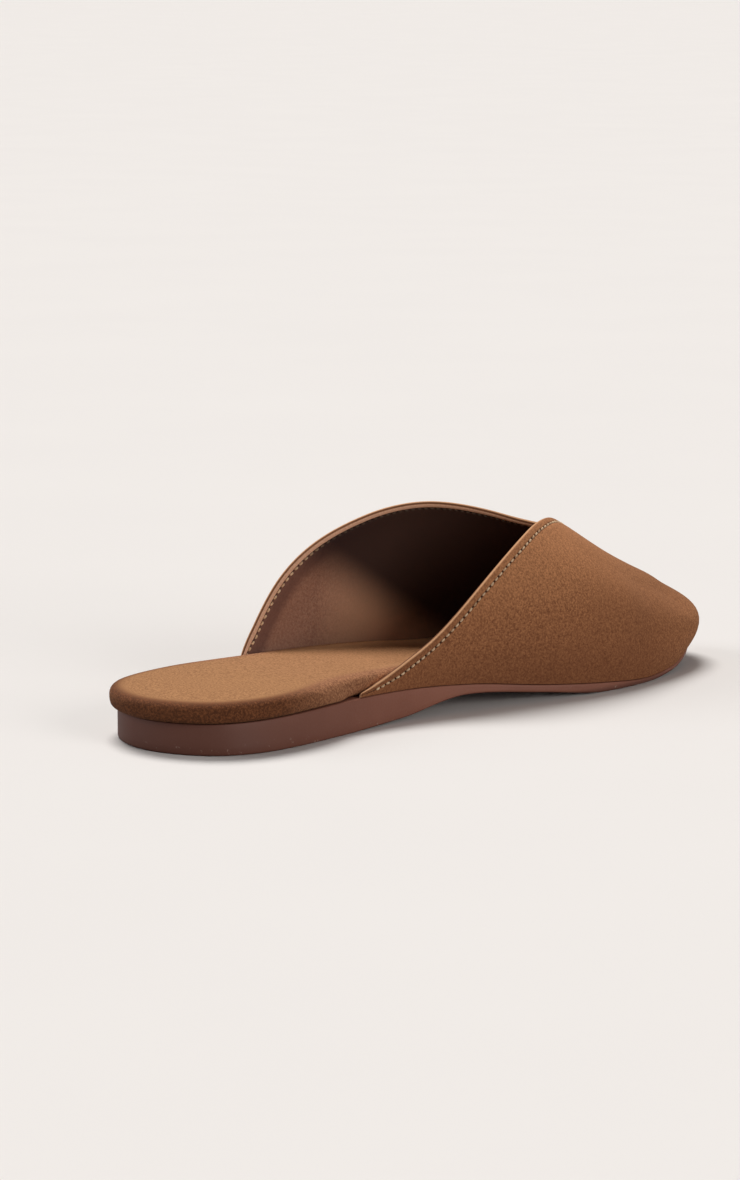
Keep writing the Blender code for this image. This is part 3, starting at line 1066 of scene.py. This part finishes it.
COMPOUND_LOOK = {
    "finish": (0.5, 0.4),
    "relief": (0.18, 0.12 * MM),
    "fleck_scale": 1500.0,
    "patch_scale": 55.0,
    "dark": (0.285, 0.101, 0.060),
    "light": (0.345, 0.128, 0.079),
    "fleck": (0.40, 0.19, 0.135),
    "fleck_share": 0.25,
    # Painted shade: the sole darker towards the heel
    "heel": (0.140, 0.052, 0.035),
    "heel_shade_over_y": (-20 * MM, -105 * MM, 0.0, 0.75),
    # Painted light on the back of the heel, paler and greyer
    "heel_back_light": (0.26, 0.185, 0.160),
    "heel_back_light_over_x_and_y": (-128 * MM, -143 * MM, 0.0, 0.55),
    # Painted shade on the sole's rounded lower edge, towards the front
    "under_edge_shade": (0.09, 0.036, 0.026),
    "under_edge_shade_over_z": (2.2 * MM, 1.0 * MM, 0.0, 0.6),
    "under_edge_shade_over_y": (0.0, 25 * MM),
    "scuff": (0.62, 0.42, 0.34),
    "scuff_noise": (640, 3, 0.7),
    "scuff_by_noise": (0.64, 0.70, 0.0, 0.45),
    "scuff_over_z": (4.5 * MM, 1.5 * MM),
    "roughness_by_patch": (0.0, 1.0, 0.44, 0.6),
}
THREAD_LOOK = {
    "finish": (0.75, 0.3),
    "relief": (0.4, 0.1 * MM),
    "twist": (3500, 2, 0.6),
    "soil_noise": (330, 2, 0.5),
    "dark": (0.60, 0.36, 0.19),
    "light": (1.0, 0.76, 0.50),
    "light_by_twist": (0.35, 0.65),
    "soil": (0.36, 0.17, 0.07),
    "soil_by_noise": (0.48, 0.72, 0.0, 0.8),
    # Painted shade deep in the shoe, for the lining's stitches
    "deep": (0.02, 0.008, 0.006),
    "deep_shade_share": 0.93,
}
FLOOR_LOOK = {
    "finish": (0.9, 0.0),
    "grain": (6, 3, 0.5),
    "bounced": (0.30, 0.30, 0.31),
    "dark": (0.825, 0.79, 0.767),
    "light": (0.835, 0.80, 0.776),
    "light_by_grain": (0.3, 0.7),
}
WORN_SHARE = 0.28
SPECK_SHARE = 0.55
SHEEN = {"Sheen_Weight": 0.14, "Sheen_Roughness": 0.4, "Sheen_Tint": (0.9, 0.5, 0.25, 1)}

# Depth in the shoe, for the painted shade there: gain along Y and along Z for a metre, and the depths
# at which it fades
DEPTH_ALONG = 34.0
DEPTH_UP = 63.0
DEPTH_FADE = (1.4, 2.75)


class Paint:
    """One material while its nodes are laid, with its look and its colour so far."""

    def __init__(self, name, look, **plain):
        self.material = bpy.data.materials.new(name)
        self.material.use_nodes = True
        self.look = look
        self.tree = self.material.node_tree
        self.shader = self.tree.nodes["Principled BSDF"]
        roughness, specular = look["finish"]
        plain.update(Roughness=roughness, Specular_IOR_Level=specular)
        set_inputs(self.tree, self.shader, **plain)
        self.place = add_node(self.tree, "ShaderNodeTexCoord").outputs["Object"]
        self.colour = None

    def axis(self, name):
        """One of the object coordinates, X, Y or Z."""
        split = add_node(self.tree, "ShaderNodeSeparateXYZ")
        join(self.tree, self.place, split.inputs[0])
        return split.outputs[name]

    def kept(self, name):
        """A value kept on the vertices of the piece."""
        return add_node(self.tree, "ShaderNodeAttribute", attribute_name=name).outputs["Fac"]

    def noise(self, name):
        return noise_of(self.tree, self.place, *self.look[name])

    def nap(self, group):
        """The shared nap at this look's scales."""
        node = add_node(self.tree, "ShaderNodeGroup", node_tree=group)
        fleck, patch = self.look["fleck_scale"], self.look["patch_scale"]
        set_inputs(self.tree, node, Vector=self.place, Fleck_Scale=fleck, Patch_Scale=patch)
        return node.outputs

    def said(self, value):
        """A socket or number as it is, or what the look says under a name."""
        if not isinstance(value, str):
            return value
        value = self.look[value]
        return (*value, 1) if isinstance(value, tuple) else value

    def maths(self, operation, first, second=0.0):
        return maths(self.tree, operation, self.said(first), self.said(second))

    def fade(self, name, value):
        """Strength of one of the look's fades at a value."""
        return ranged(self.tree, value, *self.look[name])

    def mix(self, factor, first, second):
        """A mix of two colours, each a socket or the name of one of the look's colours."""
        return mixed(self.tree, factor, self.said(first), self.said(second))

    def tint(self, name, *strengths):
        """Lays one of the look's colours over the colour so far, by the product of the strengths."""
        strength = strengths[0]
        for other in strengths[1:]:
            strength = self.maths("MULTIPLY", strength, other)
        self.colour = self.mix(strength, self.colour, name)

    def inward(self):
        """How deep in the shoe a place lies: 0 at the corner by the heel, 1 in the toe."""
        along = self.maths("MULTIPLY", self.axis("Y"), DEPTH_ALONG)
        up = self.maths("MULTIPLY", self.axis("Z"), DEPTH_UP)
        node = add_node(self.tree, "ShaderNodeMapRange", interpolation_type="SMOOTHSTEP")
        depth = self.maths("ADD", along, up)
        low, high = DEPTH_FADE
        set_inputs(self.tree, node, Value=depth, From_Min=low, From_Max=high)
        return node.outputs["Result"]

    def relief(self, height):
        """Bumps the surface by a height socket."""
        node = add_node(self.tree, "ShaderNodeBump")
        strength, distance = self.look["relief"]
        set_inputs(self.tree, node, Height=height, Strength=strength, Distance=distance)
        join(self.tree, node.outputs["Normal"], self.shader.inputs["Normal"])

    def done(self):
        join(self.tree, self.colour, self.shader.inputs["Base Color"])
        return self.material


def suede(name, look, group):
    """Suede with flecks of fibre, brushed patches and dark specks; more is laid over it."""
    paint = Paint(name, look, **SHEEN)
    pile = paint.nap(group)
    paint.colour = paint.mix(pile["Fleck"], "dark", "light")
    paint.tint("worn", pile["Patch"], WORN_SHARE)
    paint.tint("dark", pile["Speck"], SPECK_SHARE)
    paint.relief(pile["Height"])
    return paint, pile


def upper_suede(group):
    """Suede of the upper: painted shade low down and over the toe, painted light high up, a painted
    highlight on the rim's crest, paler turned-in suede with a painted highlight inside the rim, and
    dark in the sewn groove.
    """
    paint, pile = suede("vamp_suede", VAMP_LOOK, group)
    along, height = paint.axis("Y"), paint.axis("Z")
    distance, over = paint.kept("from_edge"), paint.kept("over_rim")
    paint.tint("low", paint.fade("low_shade_over_z", height), paint.fade("low_shade_over_y", along))
    paint.tint("high", paint.fade("top_light_over_z", height))
    paint.tint("toe", paint.fade("toe_shade_over_y", along), paint.fade("toe_shade_over_z", height))
    paint.tint("hem", paint.fade("hem_from_edge", distance))
    # A painted highlight on the rim's crest, and a dark line just inside it
    for edge in ("lit_edge", "dark_edge"):
        paint.tint(edge, paint.fade(edge + "_starts", over), paint.fade(edge + "_ends", over))
    highlight_flecks = paint.fade("turned_in_highlight_flecks", pile["Fleck"])
    paint.tint("turned_in_highlight", paint.fade("turned_in_highlight_starts", over), highlight_flecks)
    aside = paint.maths("ABSOLUTE", paint.maths("SUBTRACT", distance, STITCH_DISTANCE))
    paint.tint("seam", paint.fade("seam_aside", aside), paint.fade("seam_outside", over))
    return paint.done()


def footbed_suede(group):
    """Suede of the footbed: painted shade on its flecked side, darkest at the heel, and painted light
    along its inner edges under the walls.
    """
    paint, pile = suede("footbed_suede", FOOTBED_LOOK, group)
    along = paint.axis("Y")
    aside = paint.maths("ABSOLUTE", paint.axis("X"))
    painted_wall_light = paint.fade("painted_wall_light_over_x", aside), paint.fade("painted_wall_light_over_y", along)
    paint.tint("painted_wall_light", *painted_wall_light)
    waist = paint.fade("waist_over_y", along)
    dim = paint.mix(waist, "heel_dim", "waist_dim")
    bright = paint.mix(waist, "heel_bright", "waist_bright")
    side_colour = paint.mix(pile["Fleck"], dim, bright)
    side_shade = paint.maths("ADD", paint.kept("on_side"), paint.fade("side_shade_by_fleck", pile["Fleck"]))
    side_shade = paint.maths("ADD", side_shade, paint.maths("MULTIPLY", waist, "side_shade_at_waist"))
    paint.colour = paint.mix(paint.fade("side_shade", side_shade), paint.colour, side_colour)
    return paint.done()


def lining(group):
    """Lining with a fine fibrous face: painted shade along its rim and deep in the shoe, painted
    light partway in, and dark along its seam.
    """
    paint = Paint("lining", LINING_LOOK)
    pile = paint.nap(group)
    distance = paint.kept("from_edge")
    paint.colour = paint.mix(pile["Fleck"], "dark", "light")
    paint.tint("patch", pile["Patch"], "patch_share")
    paint.tint("rim_shade", paint.fade("rim_shade_from_edge", distance))
    paint.tint("lining_light", paint.fade("lining_light_over_y", paint.axis("Y")))
    paint.tint("deep", paint.inward(), "deep_shade_share")
    paint.tint("seam", paint.fade("seam_from_edge", distance))
    paint.relief(pile["Height"])
    return paint.done()


def sole_compound(group):
    """Moulded compound: fine mottling, painted shade towards the heel and on the rolled lower edge,
    painted light on the back of the heel, and scuffs.
    """
    paint = Paint("sole_compound", COMPOUND_LOOK)
    pile = paint.nap(group)
    along, height = paint.axis("Y"), paint.axis("Z")
    paint.colour = paint.mix(pile["Patch"], "dark", "light")
    paint.tint("fleck", pile["Fleck"], "fleck_share")
    paint.tint("heel", paint.fade("heel_shade_over_y", along))
    behind = paint.maths("ADD", paint.axis("X"), along)
    paint.tint("heel_back_light", paint.fade("heel_back_light_over_x_and_y", behind))
    under_shade = paint.fade("under_edge_shade_over_z", height), paint.fade("under_edge_shade_over_y", along)
    paint.tint("under_edge_shade", *under_shade)
    scuffs = paint.fade("scuff_by_noise", paint.noise("scuff_noise"))
    paint.tint("scuff", scuffs, paint.fade("scuff_over_z", height))
    roughness = paint.fade("roughness_by_patch", pile["Patch"])
    join(paint.tree, roughness, paint.shader.inputs["Roughness"])
    paint.relief(pile["Height"])
    return paint.done()


def thread(name, shaded):
    """Twisted thread, some of its stitches browner than others; shaded gets painted shade deep in the
    shoe.
    """
    paint = Paint(name, THREAD_LOOK)
    twist = paint.noise("twist")
    paint.colour = paint.mix(paint.fade("light_by_twist", twist), "dark", "light")
    paint.tint("soil", paint.fade("soil_by_noise", paint.noise("soil_noise")))
    if shaded:
        paint.tint("deep", paint.inward(), "deep_shade_share")
    paint.relief(twist)
    return paint.done()


def pale_floor():
    """A floor that the camera sees pale, and that bounces less light under the shoe."""
    paint = Paint("pale_floor", FLOOR_LOOK)
    grain = paint.noise("grain")
    seen = paint.mix(paint.fade("light_by_grain", grain), "dark", "light")
    to_camera = add_node(paint.tree, "ShaderNodeLightPath").outputs["Is Camera Ray"]
    paint.colour = paint.mix(to_camera, "bounced", seen)
    return paint.done()


def dress(piece, *materials):
    for material in materials:
        piece.data.materials.append(material)


# Floor and light

# Floor in metres: radius of the disc, then each ring's radius and rise
FLOOR_RADIUS = 0.6
FLOOR_RINGS = (
    (1.5, 0.0), (3.0, 0.0), (5.0, 0.012), (9.0, 0.1), (18.0, 0.4), (60.0, 2.0),
)

# Lamps: azimuth, elevation and spread in degrees, strength, linear colour
SUNS = (
    ("overhead_softbox", 160, 65, 32, 2.58, (1.0, 0.99, 0.97)),
    ("side_fill", 3, 17, 34, 1.15, (1.0, 0.98, 0.96)),
    ("back_fill", 228, 28, 40, 0.75, (0.99, 0.99, 1.0)),
)
SKY_COLOUR = (0.97, 0.98, 1.0, 1)
SKY_STRENGTH = 0.10


def make_floor():
    """A pale floor that rises very gently far out, so that it fills the view on every side."""
    deselect_all()
    bpy.ops.mesh.primitive_circle_add(vertices=96, radius=FLOOR_RADIUS, fill_type="NGON")
    floor = bpy.context.active_object
    floor.name = "studio_floor"
    make_active(floor)
    bpy.ops.object.mode_set(mode="EDIT")
    bpy.ops.mesh.select_mode(type="EDGE")
    bpy.ops.mesh.select_all(action="SELECT")
    radius = FLOOR_RADIUS
    for wider, rise in FLOOR_RINGS:
        bpy.ops.mesh.extrude_edges_move()
        scale = wider / radius
        bpy.ops.transform.resize(value=(scale, scale, 1), center_override=(0, 0, 0))
        bpy.ops.transform.translate(value=(0, 0, rise))
        radius = wider
    bpy.ops.object.mode_set(mode="OBJECT")
    smooth_shade(floor, 60)
    dress(floor, pale_floor())


def sun_light(name, azimuth, elevation, spread, strength, colour):
    data = bpy.data.lights.new(name, "SUN")
    data.angle = math.radians(spread)
    data.energy = strength
    data.color = colour
    light = bpy.data.objects.new(name, data)
    turn, lift = math.radians(azimuth), math.radians(elevation)
    level = math.cos(lift)
    towards = Vector((math.cos(turn) * level, math.sin(turn) * level, math.sin(lift)))
    light.location = towards * 3
    light.rotation_euler = towards.to_track_quat("Z", "Y").to_euler()
    bpy.context.scene.collection.objects.link(light)


def make_lights():
    world = bpy.data.worlds.new("studio")
    world.use_nodes = True
    sky = world.node_tree.nodes["Background"]
    sky.inputs["Color"].default_value = SKY_COLOUR
    sky.inputs["Strength"].default_value = SKY_STRENGTH
    bpy.context.scene.world = world
    for sun in SUNS:
        sun_light(*sun)
    bpy.context.scene.view_settings.view_transform = "Standard"
    bpy.context.scene.view_settings.look = "None"


ORIGIN = origin_of_fit()
make_camera(ORIGIN)
upper, outer_face, inner_face, face_normals, hem_share = make_upper(ORIGIN)
outside_stitches = make_stitches(
    "topline_stitches", outer_face[SEAM_ROW], face_normals[SEAM_ROW], hem_share, STITCH_SLANT
)
inside_stitches = make_stitches(
    "lining_stitches", inner_face[LINING_ROW], -face_normals[LINING_ROW], hem_share, -STITCH_SLANT
)
footbed = make_footbed(ORIGIN)
sole = make_sole(ORIGIN)

nap = nap_group()
dress(upper, upper_suede(nap), lining(nap))
dress(footbed, footbed_suede(nap))
dress(sole, sole_compound(nap))
dress(outside_stitches, thread("cream_thread", shaded=False))
dress(inside_stitches, thread("lining_thread", shaded=True))

make_floor()
make_lights()
